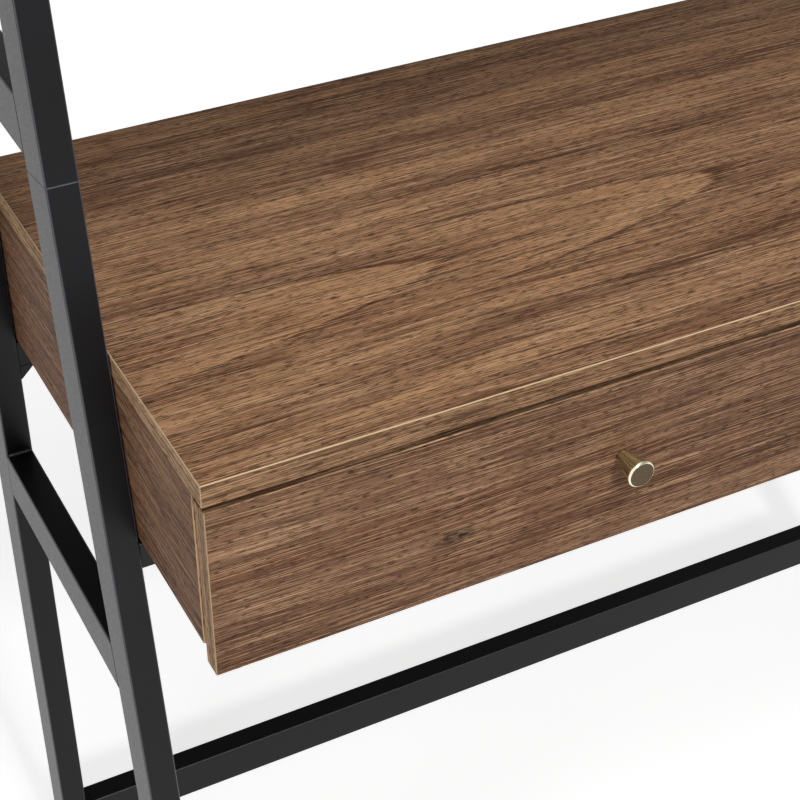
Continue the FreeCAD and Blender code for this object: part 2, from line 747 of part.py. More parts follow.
def cam_fitting(name, panel, side, along):
    """A cam lock in a side panel's inner face, and the bolt that it draws down from the desk top."""
    centre = (spigot_middle(side), along)
    blind_hole(panel, "XY_Plane", "top_underside", centre, "bolt_hole", "cam_drop")
    blind_hole(desk_top, "XY_Plane", "top_underside", centre, "bolt_hole", "dowel_rise", reverse=True)
    half_view = rectangle("0", "cam_hole - cam_drop", "bolt_radius", "dowel_rise")
    bolt = turned(f"{name}_bolt", (*centre, "top_underside"), half_view)
    face = mirrored(side, "panel_inner")
    blind_hole(panel, "YZ_Plane", face, (along, "cam_level"), "cam_hole", "cam_depth", reverse=side > 0)
    lock = new_body(f"{name}_lock")
    sketch = circle(new_sketch(lock, "YZ_Plane", face), along, "cam_level", "cam_radius")
    pad(lock, sketch, "cam_depth", reverse=side < 0)
    return [bolt, lock]


dowels = []
cam_fittings = []
for side_name, side in SIDES:
    for end_name, dowel_place, cam_place in (
        ("front", "panel_front + dowel_inset", "panel_front + cam_inset"),
        ("rear", "back_edge - dowel_inset", "back_edge - cam_inset"),
    ):
        centre = (spigot_middle(side), dowel_place)
        dowels.append(top_dowel(f"{side_name}_{end_name}_dowel", side_panels[side], centre))
        cam_fittings += cam_fitting(f"{side_name}_{end_name}_cam", side_panels[side], side, cam_place)
    centre = (mirrored(side, "panel_inner - dowel_inset"), "back_edge - panel_thickness / 2")
    dowels.append(top_dowel(f"{side_name}_back_dowel", back_panel, centre))
group("panel_dowels", dowels)
group("cam_fittings", cam_fittings)


# Shelves on angle brackets

def bracket_middle(top):
    """Middle of a shelf rung's length."""
    return f"(({post_back(top)} + rear_post_front) / 2)"


def bracket_screws(top):
    """Where the two screws of a bracket stand along the shelf's depth."""
    return [f"{bracket_middle(top)} {sign} bracket_screw_pitch / 2" for sign in "-+"]


def bracket_line(side):
    """Where the screws of a bracket stand across the shelf."""
    return mirrored(side, "inner_span / 2 - bracket_leg / 2 - bracket_wall / 2")


def bracket(name, side, top):
    """A steel angle on the inner face of a rung, drilled for two screws."""
    body = new_body(name)
    under = f"({top} - shelf_thickness)"
    face = mirrored(side, "inner_span / 2")
    web = mirrored(side, "inner_span / 2 - bracket_wall")
    tip = mirrored(side, "inner_span / 2 - bracket_leg")
    angle = [
        (face, under),
        (tip, under),
        (tip, f"{under} - bracket_wall"),
        (web, f"{under} - bracket_wall"),
        (web, f"{under} - bracket_leg"),
        (face, f"{under} - bracket_leg"),
    ]
    sketch = outline(new_sketch(body, "XZ_Plane", f"-{bracket_middle(top)}"), angle)
    pad(body, sketch, "bracket_length", symmetric=True)
    for along in bracket_screws(top):
        hole = circle(new_sketch(body, "XY_Plane", under), bracket_line(side), along, "screw_hole")
        cut(body, hole, "bracket_wall")
    return body


brackets = []
shelf_screws = []
for shelf_name, top in (("lower_shelf", "lower_shelf_height"), ("upper_shelf", "upper_shelf_height")):
    under = f"({top} - shelf_thickness)"
    shelf = board(
        shelf_name,
        ("-desk_width / 2", post_front(top), under),
        ("desk_width / 2", "rear_post_back", top),
        eased=True,
    )
    for side_name, side in SIDES:
        brackets.append(bracket(f"{side_name}_{shelf_name}_bracket", side, top))
        for count, along in enumerate(bracket_screws(top)):
            centre = (bracket_line(side), along)
            blind_hole(shelf, "XY_Plane", under, centre, "screw_hole", "shelf_screw_grip", reverse=True)
            place = (bracket_line(side), along, f"{under} - bracket_wall")
            length = "bracket_wall + shelf_screw_grip"
            points = screw_outline("screw_radius", "screw_head_radius", "screw_head_height", length)
            shelf_screws.append(turned(f"{side_name}_{shelf_name}_screw_{count}", place, points))
group("shelf_brackets", brackets)
group("shelf_screws", shelf_screws)


# Drawer

drawer_front = board(
    "drawer_front",
    ("drawer_front_inset - desk_width / 2", "front_face", "drawer_front_underside"),
    ("desk_width / 2 - drawer_front_inset", "drawer_front_back", "drawer_front_top"),
    eased=True,
)
front_groove = rectangle(
    "-drawer_inner - groove_depth", "groove_floor", "drawer_inner + groove_depth", "groove_ceiling"
)
groove_sketch = new_sketch(drawer_front, "XZ_Plane", "groove_depth - drawer_front_back")
cut(drawer_front, outline(groove_sketch, front_groove))
for side_name, side in SIDES:
    sketch = new_sketch(drawer_front, "XZ_Plane", "-front_face")
    cut(drawer_front, circle(sketch, mirrored(side, "knob_centre"), "knob_level", "screw_hole"))


def drawer_side(label, side):
    """A drawer side: its section, with the groove for the bottom, is run along the drawer's length."""
    body = new_body(label)
    outer = mirrored(side, "drawer_half")
    inner = mirrored(side, "drawer_inner")
    groove = mirrored(side, "drawer_inner + groove_depth")
    section = [
        (outer, "drawer_side_underside"),
        (inner, "drawer_side_underside"),
        (inner, "groove_floor"),
        (groove, "groove_floor"),
        (groove, "groove_ceiling"),
        (inner, "groove_ceiling"),
        (inner, "drawer_side_top"),
        (outer, "drawer_side_top"),
    ]
    sketch = outline(new_sketch(body, "XZ_Plane", "-drawer_front_back"), section)
    pad(body, sketch, "drawer_length", reverse=True)
    return sub_part(body, label)


drawer_sides = {side: drawer_side(f"drawer_{side_name}_side", side) for side_name, side in SIDES}
drawer_back = board(
    "drawer_back",
    ("-drawer_inner", "drawer_back_end - drawer_board", "groove_floor + drawer_bottom_thickness"),
    ("drawer_inner", "drawer_back_end", "drawer_side_top"),
)
board(
    "drawer_bottom",
    (
        "insert_clearance - drawer_inner - groove_depth",
        "drawer_front_back - groove_depth + insert_clearance",
        "groove_floor",
    ),
    (
        "drawer_inner + groove_depth - insert_clearance",
        "drawer_back_end",
        "groove_floor + drawer_bottom_thickness",
    ),
)


def front_dowel(name, side, up):
    """A dowel from the end of a drawer side into the back of the drawer front."""
    centre = (mirrored(side, "drawer_side_middle"), up)
    back = "-drawer_front_back"
    blind_hole(drawer_sides[side], "XZ_Plane", back, centre, "drawer_dowel_hole", "drawer_dowel_drop")
    blind_hole(drawer_front, "XZ_Plane", back, centre, "drawer_dowel_hole", "drawer_dowel_bite", reverse=True)
    half_view = rectangle("0", "-drawer_dowel_drop", "drawer_dowel_radius", "drawer_dowel_bite")
    return turned(name, (centre[0], "drawer_front_back", up), half_view, ALONG_X, "90")


def back_dowel(name, side, up):
    """A dowel from the end of the drawer back into the inner face of a drawer side."""
    centre = ("drawer_back_end - drawer_board / 2", up)
    face = mirrored(side, "drawer_inner")
    bore = "drawer_dowel_hole"
    blind_hole(drawer_back, "YZ_Plane", face, centre, bore, "drawer_dowel_drop", reverse=side < 0)
    blind_hole(drawer_sides[side], "YZ_Plane", face, centre, bore, "drawer_dowel_bite", reverse=side > 0)
    half_view = rectangle("0", "-drawer_dowel_drop", "drawer_dowel_radius", "drawer_dowel_bite")
    return turned(name, (face, centre[0], up), half_view, FreeCAD.Vector(0, side, 0), "90")


drawer_dowels = []
for side_name, side in SIDES:
    lower = "groove_ceiling + drawer_dowel_edge"
    upper = "drawer_side_top - drawer_dowel_edge"
    for level_name, up in (("lower", lower), ("upper", upper)):
        drawer_dowels.append(front_dowel(f"{side_name}_{level_name}_front_dowel", side, up))
        drawer_dowels.append(back_dowel(f"{side_name}_{level_name}_back_dowel", side, up))
group("drawer_dowels", drawer_dowels)


# Telescopic slides: three nested channels on each side

def channel(label, side, back, lips, height):
    """A rolled channel: a web with two lips, run along the slide's length.

    Distances are counted from the side panel towards the drawer: to the web's outside and to the lips' ends.
    """
    body = new_body(label)

    def at(distance):
        return mirrored(side, f"panel_inner - ({distance})")

    toward = "+" if number(lips) > number(back) else "-"
    web = f"{back} {toward} slide_wall"
    half = f"({height}) / 2"
    section = [
        (at(back), f"slide_middle - {half}"),
        (at(lips), f"slide_middle - {half}"),
        (at(lips), f"slide_middle - {half} + slide_wall"),
        (at(web), f"slide_middle - {half} + slide_wall"),
        (at(web), f"slide_middle + {half} - slide_wall"),
        (at(lips), f"slide_middle + {half} - slide_wall"),
        (at(lips), f"slide_middle + {half}"),
        (at(back), f"slide_middle + {half}"),
    ]
    sketch = outline(new_sketch(body, "XZ_Plane", "-slide_front"), section)
    pad(body, sketch, "slide_length", reverse=True)
    sub_part(body, label)


for side_name, side in SIDES:
    lips = "slide_space - slide_step"
    channel(f"{side_name}_slide_rail", side, "0", lips, "slide_height")
    channel(f"{side_name}_slide_carriage", side, "slide_step", lips, "slide_height - 2 * slide_step")
    runner_height = "slide_height - 4 * slide_step"
    channel(f"{side_name}_slide_runner", side, "slide_space", "2 * slide_step", runner_height)


# Knobs

def knob(label, side):
    """A cone turned from bar: narrow at the drawer front, with a bevelled rim and a threaded hole behind."""
    place = (mirrored(side, "knob_centre"), "front_face", "knob_level")
    cone_end = "knob_length - knob_rim_length"
    half = [
        ("screw_hole", "0"),
        ("knob_base_radius", "0"),
        ("knob_rim_radius", cone_end),
        ("knob_rim_radius", "knob_length - knob_edge"),
        ("knob_rim_radius - knob_edge", "knob_length"),
        ("0", "knob_length"),
        ("0", "knob_thread_depth"),
        ("screw_hole", "knob_thread_depth"),
    ]
    return sub_part(turned(label, place, half, ALONG_X, "90"), label)


knob_screws = []
for side_name, side in SIDES:
    knob(f"{side_name}_knob", side)
    place = (mirrored(side, "knob_centre"), "drawer_front_back", "knob_level")
    length = "drawer_front_thickness + knob_screw_bite"
    points = screw_outline("screw_radius", "screw_head_radius", "screw_head_height", length)
    knob_screws.append(turned(f"{side_name}_knob_screw", place, points, ALONG_X, "90"))
group("knob_screws", knob_screws)


# Check the whole document, then write one file for each sub-part

doc.recompute()
for thing in doc.Objects:
    if "Invalid" in thing.State or "Error" in thing.State:
        raise RuntimeError(f"{thing.Label} failed: {thing.State}")
for thing in parts:
    if thing.Shape.isNull() or not thing.Shape.isValid():
        raise RuntimeError(f"{thing.Label} has no valid shape")

os.makedirs("parts", exist_ok=True)
for thing in parts:
    thing.Shape.exportStep(os.path.join("parts", f"{thing.Label}.step"))
    print(f"{thing.Label}: {len(thing.Shape.Solids)} solids, {thing.Shape.Volume:.0f} mm3")
print(f"{len(parts)} sub-parts")
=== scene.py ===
# %% [markdown]
# # Dressing a ladder desk
# The desk arrives as a set of finished solids: leaning black tube frames, a walnut-look desk box with a
# wide drawer, and shelves above. The solids already have the right shape and place, so this lesson is
# about what the eye still misses: the printed grain, the scraped board edges, the coat on the steel and
# the turned brass.
# Everything is in metres. +X is right seen from the front, +Y is back and +Z is up.

# %% Load the desk
import json
import math

import bpy
import numpy as np
from mathutils import Matrix, Vector


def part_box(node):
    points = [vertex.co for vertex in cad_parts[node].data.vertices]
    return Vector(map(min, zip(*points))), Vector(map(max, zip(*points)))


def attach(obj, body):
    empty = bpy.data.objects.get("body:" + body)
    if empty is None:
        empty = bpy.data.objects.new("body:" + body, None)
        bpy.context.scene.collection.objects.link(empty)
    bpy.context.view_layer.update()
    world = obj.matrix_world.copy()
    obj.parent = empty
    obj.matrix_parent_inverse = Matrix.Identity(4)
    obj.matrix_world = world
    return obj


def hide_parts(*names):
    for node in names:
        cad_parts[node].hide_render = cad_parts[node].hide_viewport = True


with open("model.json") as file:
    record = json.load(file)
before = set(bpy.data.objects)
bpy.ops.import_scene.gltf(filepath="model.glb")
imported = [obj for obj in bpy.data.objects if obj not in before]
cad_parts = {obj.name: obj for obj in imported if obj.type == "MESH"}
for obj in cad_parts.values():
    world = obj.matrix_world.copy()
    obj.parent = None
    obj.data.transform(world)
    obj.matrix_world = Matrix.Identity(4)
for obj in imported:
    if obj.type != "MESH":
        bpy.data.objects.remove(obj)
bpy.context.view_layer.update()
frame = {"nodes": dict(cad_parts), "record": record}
nodes = frame["nodes"]

# %% [markdown]
# ## Small helpers
# Colours are written as the hex values that one would pick from a swatch. Blender works in linear light,
# so one function turns them over. Shader nodes could be wired by hand in the editor. One helper that adds
# a node, sets it and links it keeps each recipe short enough to read as a recipe.

# %% Colours and nodes
MM = 0.001


def paint(swatch):
    """Linear colour of an sRGB hex swatch.

    Each channel is divided by 12.92 where it is dark, and is ((c + 0.055) / 1.055) ** 2.4 elsewhere.
    """
    channels = [int(swatch[k:k + 2], 16) / 255 for k in (1, 3, 5)]
    linear = [c / 12.92 if c <= 0.04045 else ((c + 0.055) / 1.055) ** 2.4 for c in channels]
    return (*linear, 1.0)


def add(tree, kind, inputs=None, stops=(), **settings):
    """Add a node with its settings. An input takes a value, a socket, or a node's first output."""
    node = tree.nodes.new("ShaderNode" + kind)
    for name, value in settings.items():
        setattr(node, name, value)
    for key, value in (inputs or {}).items():
        if isinstance(value, bpy.types.Node):
            value = value.outputs[0]
        if isinstance(value, bpy.types.NodeSocket):
            tree.links.new(value, node.inputs[key])
        else:
            node.inputs[key].default_value = value
    for k, (position, swatch) in enumerate(stops):
        elements = node.color_ramp.elements
        element = elements[k] if k < len(elements) else elements.new(position)
        element.position = position
        element.color = paint(swatch)
    return node


def new_material(name):
    """An empty material with its principled shader, ready to be fed."""
    material = bpy.data.materials.new(name)
    material.use_nodes = True
    tree = material.node_tree
    return material, tree, tree.nodes["Principled BSDF"]


print("swatch #808080 is", round(paint("#808080")[0], 4), "in linear light")

# %% [markdown]
# ## Walnut-look laminate
# The boards are particle board under a printed paper in melamine resin, pressed against a plate that
# leaves fine pores. The print shows a flat-sawn plank. On such a plank the growth rings are cones cut by
# a plane, so the lines close into flames along the middle and run straight at the sides.
# A photograph of veneer could be used, but then it has one size and one place. Here the rings are worked
# out: distance from a sloping axis under the board, bent a little by noise. The same recipe serves every
# board with its own axis. It is built up in steps.
# The first step asks which face of a board it is on. The main faces carry the print. The edges carry a
# band that is ironed on and scraped at 45 degrees, so each corner is a narrow face of its own.

# %% Faces of a board
AXES = "XYZ"
FLAT = 0.9


def facings(tree):
    """The face's normal, how far it looks along each axis, and the largest of the three.

    The largest is 1 where a face looks straight along an axis, and less on a scraped or rounded corner.
    """
    normal = add(tree, "SeparateXYZ", {0: add(tree, "NewGeometry").outputs["True Normal"]})
    facing = {axis: add(tree, "Math", {0: normal.outputs[axis]}, operation="ABSOLUTE") for axis in AXES}
    widest = add(tree, "Math", {0: facing["X"], 1: facing["Y"]}, operation="MAXIMUM")
    widest = add(tree, "Math", {0: widest, 1: facing["Z"]}, operation="MAXIMUM")
    return normal, facing, widest


def board_faces(tree, grain, face):
    """Place along the strands and across them, how far a face looks up, and a mask for each kind of face.

    A mask is 1 where a face looks along an axis by more than FLAT. On the band across an end, the strands
    follow the board's third axis.
    """
    third = next(axis for axis in AXES if axis not in (grain, face))
    place = add(tree, "SeparateXYZ", {0: add(tree, "TexCoord").outputs["Object"]})
    normal, facing, widest = facings(tree)
    upward = normal.outputs["Z"]
    main = add(tree, "Math", {0: facing[face], 1: FLAT}, operation="GREATER_THAN")
    band = add(tree, "Math", {0: 1.0, 1: main}, operation="SUBTRACT")
    upper = add(tree, "Math", {0: upward, 1: FLAT}, operation="GREATER_THAN")
    upper = add(tree, "Math", {0: upper, 1: band}, operation="MULTIPLY")
    end = add(tree, "Math", {0: facing[grain], 1: FLAT}, operation="GREATER_THAN")
    scraped = add(tree, "Math", {0: widest, 1: FLAT}, operation="LESS_THAN")
    along = add(tree, "Mix", {0: end, 2: place.outputs[grain], 3: place.outputs[third]})
    side = add(tree, "Mix", {0: main, 2: place.outputs[face], 3: place.outputs[third]})
    kinds = {"main": main, "band": band, "upper": upper, "end": end, "scraped": scraped}
    return along, side, upward, kinds


print("a face is flat within", round(math.degrees(math.acos(FLAT))), "degrees of an axis")

# %% [markdown]
# No plank is straight: its lines wander by some millimetres over a hand's width. Fibres run along it
# everywhere and fray the rings. Both are noise that is stretched along the grain. Such a noise is set by
# how many of its lumps go into a metre along the grain and across it, and a third number picks another
# slice of the noise: 820 lumps in a metre make fibres 1.2 mm wide.

# %% Strands and fibres
WANDER = 14 * MM
WANDER_LUMPS = (3.2, 9.0, 1.0)
FIBRE_LUMPS = (16.0, 820.0, 5.0)


def strands(tree, along, side, seed):
    """Place across the board after wandering, the place in the print, and the fibres there.

    Wandering place = side + WANDER * (noise - 0.5).
    """
    wander_at = add(tree, "CombineXYZ", {0: along, 1: side, 2: seed})
    wander_at = add(tree, "VectorMath", {0: wander_at, 1: WANDER_LUMPS}, operation="MULTIPLY")
    wander = add(tree, "TexNoise", {"Vector": wander_at, "Scale": 1.0, "Detail": 1.0})
    wander = add(tree, "Math", {0: wander, 1: 0.5}, operation="SUBTRACT")
    bent = add(tree, "Math", {0: wander, 1: WANDER, 2: side}, operation="MULTIPLY_ADD")
    strand = add(tree, "CombineXYZ", {0: along, 1: bent, 2: seed})
    fibres_at = add(tree, "VectorMath", {0: strand, 1: FIBRE_LUMPS}, operation="MULTIPLY")
    fibres = add(tree, "TexNoise", {"Vector": fibres_at, "Scale": 1.0, "Detail": 2.0, "Roughness": 0.6})
    return bent, strand, fibres


print("fibres of", round(1 / FIBRE_LUMPS[0] / MM), "by", round(1 / FIBRE_LUMPS[1] / MM, 1), "mm")

# %% [markdown]
# Each growth ring lightens slowly and ends in a sharp dark line of late wood. This shows in the flame and
# fades towards the sides. A picture of rings could be bent into place, but a distance gives them at once:
# all points that are equally far from the cone's axis lie on one ring.

# %% Growth rings
RING_PITCH = 14 * MM
FRAY = 2 * MM
LATE_WOOD_START, LATE_WOOD_FULL = 0.9, 0.98
LATE_WOOD_DEPTH = 2.6
FLAME_CORE, FLAME_EDGE = 12 * MM, 62 * MM


def ring_distance(tree, along, bent, fibres, on_main, axis):
    """Distance from the rings' axis, frayed by the fibres, and the distance from the flame's middle.

    Distance = root of (bent - middle - drift * along)^2 + (slope * (along - start))^2. On the bands the
    rings run straight, so there it is the place across alone.
    """
    middle, drift, start, slope = axis
    middle_at = add(tree, "Math", {0: along, 1: drift, 2: middle}, operation="MULTIPLY_ADD")
    off_middle = add(tree, "Math", {0: bent, 1: middle_at}, operation="SUBTRACT")
    depth = add(tree, "Math", {0: along, 1: start}, operation="SUBTRACT")
    depth = add(tree, "Math", {0: depth, 1: slope}, operation="MULTIPLY")
    leg = add(tree, "CombineXYZ", {0: off_middle, 1: depth})
    cone = add(tree, "VectorMath", {0: leg}, operation="LENGTH").outputs["Value"]
    rings = add(tree, "Mix", {0: on_main, 2: bent, 3: cone})
    frayed = add(tree, "Math", {0: fibres, 1: FRAY, 2: rings}, operation="MULTIPLY_ADD")
    return frayed, off_middle


def flame_glow(tree, frayed, off_middle, on_main, first_ring):
    """Lightness of a ring in the flame = (turn - LATE_WOOD_DEPTH * late wood) * fade to the sides.

    The turn goes from 0 to 1 within each ring, counted from the first ring.
    """
    turn = add(tree, "Math", {0: frayed, 1: first_ring + FRAY / 2}, operation="SUBTRACT")
    turn = add(tree, "Math", {0: turn, 1: RING_PITCH}, operation="DIVIDE")
    turn = add(tree, "Math", {0: turn}, operation="FRACT")
    rise = {"Value": turn, "From Min": LATE_WOOD_START, "From Max": LATE_WOOD_FULL}
    late_wood = add(tree, "MapRange", rise, interpolation_type="SMOOTHSTEP")
    spread = add(tree, "Math", {0: off_middle}, operation="ABSOLUTE")
    fall = {"Value": spread, "From Min": FLAME_CORE, "From Max": FLAME_EDGE, "To Min": 1.0, "To Max": 0.0}
    fade = add(tree, "MapRange", fall, interpolation_type="SMOOTHSTEP")
    fade = add(tree, "Math", {0: fade, 1: on_main}, operation="MULTIPLY")
    glow = add(tree, "Math", {0: late_wood, 1: -LATE_WOOD_DEPTH, 2: turn}, operation="MULTIPLY_ADD")
    return add(tree, "Math", {0: glow, 1: fade}, operation="MULTIPLY")


print("a ring every", round(RING_PITCH / MM), "mm, seen up to", round(FLAME_EDGE / MM), "mm from the middle")

# %% [markdown]
# Two more widths of line follow the rings over the whole plank: broad bands and thin lines. Together with
# the fibres and the flame they make one tone from dark to light, and a ramp of five swatches gives it the
# colours of the print.

# %% Tone of the print
BAND_LUMPS = (1.3, 33.0, 1.0)
LINE_LUMPS = (3.0, 165.0, 3.0)
BAND_SHARE, LINE_SHARE, FIBRE_SHARE, GLOW_SHARE = 0.48, 0.25, 0.27, 0.27
TONE_STOPS = (0.365, 0.425, 0.485, 0.545, 0.62)


def print_tone(tree, along, frayed, fibres, glow, seed):
    """Tone from dark to light: the shares of bands, lines, fibres and glow, added up."""
    ring_at = add(tree, "CombineXYZ", {0: along, 1: frayed, 2: seed})
    bands_at = add(tree, "VectorMath", {0: ring_at, 1: BAND_LUMPS}, operation="MULTIPLY")
    bands = add(tree, "TexNoise", {"Vector": bands_at, "Scale": 1.0, "Detail": 1.0})
    lines_at = add(tree, "VectorMath", {0: ring_at, 1: LINE_LUMPS}, operation="MULTIPLY")
    lines = add(tree, "TexNoise", {"Vector": lines_at, "Scale": 1.0, "Detail": 2.0, "Roughness": 0.55})
    tone = add(tree, "Math", {0: bands, 1: BAND_SHARE}, operation="MULTIPLY")
    for part, share in ((lines, LINE_SHARE), (fibres, FIBRE_SHARE), (glow, GLOW_SHARE)):
        tone = add(tree, "Math", {0: part, 1: share, 2: tone}, operation="MULTIPLY_ADD")
    return tone


print("bands of", round(1 / BAND_LUMPS[1] / MM), "mm and lines of", round(1 / LINE_LUMPS[1] / MM), "mm")

# %% [markdown]
# The edge bands are another roll of print: a little lighter than the faces and paler across an end. The
# band along the upper edge of an upright board is darker: that is painted shade, for the gap under the
# desk top. Over face and band alike lie the layers that make print look like wood: clouds about 50 mm
# wide, streaks, light and dark strands, and the pores. Each is a stretched noise of which only the peaks
# show.

# %% Bands and layers
# share and swatch of each kind of band
GROUNDS = {
    "band": (0.22, "#c09a70"),
    # painted shade: the upper band of an upright board, in the gap under the desk top
    "upper": (0.6, "#4a3526"),
    "end": (0.85, "#ecbf92"),
}
# lumps in a metre, where the noise starts to show and is full, strength, swatch
LAYERS = {
    "warm_clouds": ((2.2, 21.0, 17.0), 0.52, 0.72, 0.22, "#8a5a3a"),
    "cool_clouds": ((1.7, 15.0, 29.0), 0.52, 0.70, 0.25, "#5c4238"),
    "streaks": ((3.5, 330.0, 9.0), 0.58, 0.66, 0.5, "#4b2e1b"),
    "light_strands": ((14.0, 1400.0, 13.0), 0.53, 0.62, 0.75, "#cfa680"),
    "dark_strands": ((17.0, 1450.0, 23.0), 0.54, 0.63, 0.7, "#3a2112"),
    "pores": ((125.0, 1350.0, 7.0), 0.57, 0.63, 0.75, "#2c180b"),
}


def lay_colours(tree, wood, strand, kinds):
    """Lay the grounds of the bands and then each layer over the wood, and give the pores' share as well.

    Each step is wood + share * (swatch - wood). A layer's share rises from 0 to its strength between the
    two noise values.
    """
    for kind, (share, swatch) in GROUNDS.items():
        ground = add(tree, "Math", {0: kinds[kind], 1: share}, operation="MULTIPLY")
        wood = add(tree, "Mix", {0: ground, 6: wood, 7: paint(swatch)}, data_type="RGBA").outputs[2]
    shown = {}
    for layer, (lumps, starts, full, strength, swatch) in LAYERS.items():
        layer_at = add(tree, "VectorMath", {0: strand, 1: lumps}, operation="MULTIPLY")
        noise = add(tree, "TexNoise", {"Vector": layer_at, "Scale": 1.0, "Detail": 1.0})
        rise = {"Value": noise, "From Min": starts, "From Max": full, "To Max": strength}
        shown[layer] = add(tree, "MapRange", rise, interpolation_type="SMOOTHSTEP")
        wood = add(tree, "Mix", {0: shown[layer], 6: wood, 7: paint(swatch)}, data_type="RGBA").outputs[2]
    return wood, shown["pores"]


for layer, (lumps, *_) in LAYERS.items():
    print(layer, "of", round(1 / lumps[0] / MM), "by", round(1 / lumps[1] / MM, 1), "mm")

# %% [markdown]
# One small knot sits in the drawer front. It is a spindle, longer along the grain than across it, and it
# is broken up into specks, because a smooth dark spot would look like a stain.

# %% Knot
KNOT_LONG, KNOT_WIDE = 16 * MM, 6 * MM
KNOT_CORE, KNOT_RIM = 0.3, 1.3
SPECK_LUMPS = (190.0, 420.0, 21.0)


def knot_specks(tree, along, side, strand, knot):
    """Share of dark at a place: specks of noise * a spindle that fades from its core to its rim."""
    far = add(tree, "CombineXYZ", {0: along, 1: side})
    far = add(tree, "VectorMath", {0: far, 1: (*knot, 0.0)}, operation="SUBTRACT")
    far = add(tree, "VectorMath", {0: far, 1: (1 / KNOT_LONG, 1 / KNOT_WIDE, 0.0)}, operation="MULTIPLY")
    far = add(tree, "VectorMath", {0: far}, operation="LENGTH").outputs["Value"]
    fall = {"Value": far, "From Min": KNOT_CORE, "From Max": KNOT_RIM, "To Min": 1.0, "To Max": 0.0}
    near = add(tree, "MapRange", fall, interpolation_type="SMOOTHSTEP")
    specks_at = add(tree, "VectorMath", {0: strand, 1: SPECK_LUMPS}, operation="MULTIPLY")
    specks = add(tree, "TexNoise", {"Vector": specks_at, "Scale": 1.0, "Detail": 2.0})
    specks = add(tree, "MapRange", {"Value": specks, "From Min": 0.4, "From Max": 0.6, "To Min": 0.25})
    return add(tree, "Math", {0: specks, 1: near}, operation="MULTIPLY")


print("knot of", round(2 * KNOT_LONG / MM), "by", round(2 * KNOT_WIDE / MM), "mm")

# %% [markdown]
# Now the steps come together. Where a corner was scraped, the pale core of the band shows as a thin line.
# How pale it is also goes by how far the corner looks up, which is painted light: a painted highlight on the
# edges of the level boards, painted shade on the upper edges of the upright ones.
# The resin over the print is satin, and its pressed pores are dull and sunk by some hundredths of a
# millimetre.

# %% Laminate recipe
KNOT_DARK = "#2b1c12"
BAND_CORE = "#d9bd97"
PORE_DEPTH = 0.12 * MM


def walnut_laminate(name, grain, face, flame, tones, scrape, seed, knot=None):
    """Walnut print on a board whose grain runs along one axis and whose main faces look along another.

    The flame is its middle across the board, the middle's drift along it, the start and slope of its cone,
    and its first ring. The tones are five swatches from dark to light. The scrape is the share of band
    core on a corner that looks level, and what a corner that looks up adds to it, which is painted light:
    a painted highlight where it adds, painted shade where it takes away. The knot is its place along and
    across the grain.
    """
    material, tree, shader = new_material(name)
    along, side, upward, kinds = board_faces(tree, grain, face)
    bent, strand, fibres = strands(tree, along, side, seed)
    *axis, first_ring = flame
    frayed, off_middle = ring_distance(tree, along, bent, fibres, kinds["main"], axis)
    glow = flame_glow(tree, frayed, off_middle, kinds["main"], first_ring)
    tone = print_tone(tree, along, frayed, fibres, glow, seed)
    wood = add(tree, "ValToRGB", {0: tone}, zip(TONE_STOPS, tones)).outputs["Color"]
    wood, pores = lay_colours(tree, wood, strand, kinds)
    if knot:
        specks = knot_specks(tree, along, side, strand, knot)
        wood = add(tree, "Mix", {0: specks, 6: wood, 7: paint(KNOT_DARK)}, data_type="RGBA").outputs[2]

    # painted light: the core's share changes with how far the corner looks up
    level, painted_light_upward = scrape
    core_and_painted_light = add(tree, "Math", {0: upward, 1: painted_light_upward, 2: level}, operation="MULTIPLY_ADD")
    core_and_painted_light = add(tree, "Math", {0: kinds["scraped"], 1: core_and_painted_light}, operation="MULTIPLY")
    wood = add(tree, "Mix", {0: core_and_painted_light, 6: wood, 7: paint(BAND_CORE)}, data_type="RGBA").outputs[2]
    tree.links.new(wood, shader.inputs["Base Color"])

    dullness = add(tree, "MapRange", {"Value": pores, "To Min": 0.64, "To Max": 0.82})
    tree.links.new(dullness.outputs[0], shader.inputs["Roughness"])
    sunk = add(tree, "Math", {0: 1.0, 1: pores}, operation="SUBTRACT")
    relief = add(tree, "Bump", {"Height": sunk, "Strength": 0.25, "Distance": PORE_DEPTH})
    tree.links.new(relief.outputs[0], shader.inputs["Normal"])
    shader.inputs["Specular IOR Level"].default_value = 0.2
    return material


print("laminate recipe with", len(LAYERS), "layers over", len(TONE_STOPS), "tones")

# %% [markdown]
# Each board gets its own flame and slice of noise, so no two look alike. The level boards are painted a
# little lighter than the upright ones, and the sides have tones of their own: in part this is painted light,
# the level boards lit from above and the upright ones in painted shade. The long boards have their grain
# along X, and the sides of the desk box have it along Y.

# %% Boards
# tones that are in part painted light: lighter on the level boards, painted shade on the upright ones
LIT_TOP_TONES = ("#5a3a25", "#745037", "#8d664b", "#a27958", "#ba8e66")
SHADED_FRONT_TONES = ("#523521", "#674732", "#7c5842", "#8d694f", "#a37d60")
SHADED_SIDE_TONES = ("#553420", "#6b4530", "#81573f", "#93684b", "#a97c5b")
# core share on a level corner, then painted highlight (level boards) or painted shade (upright boards) as it
# looks up
TOP_SCRAPE_HIGHLIGHT = (0.72, 0.28)
FRONT_SCRAPE_SHADE = (0.72, -0.85)
KNOT_AT = (-270 * MM, 661 * MM)
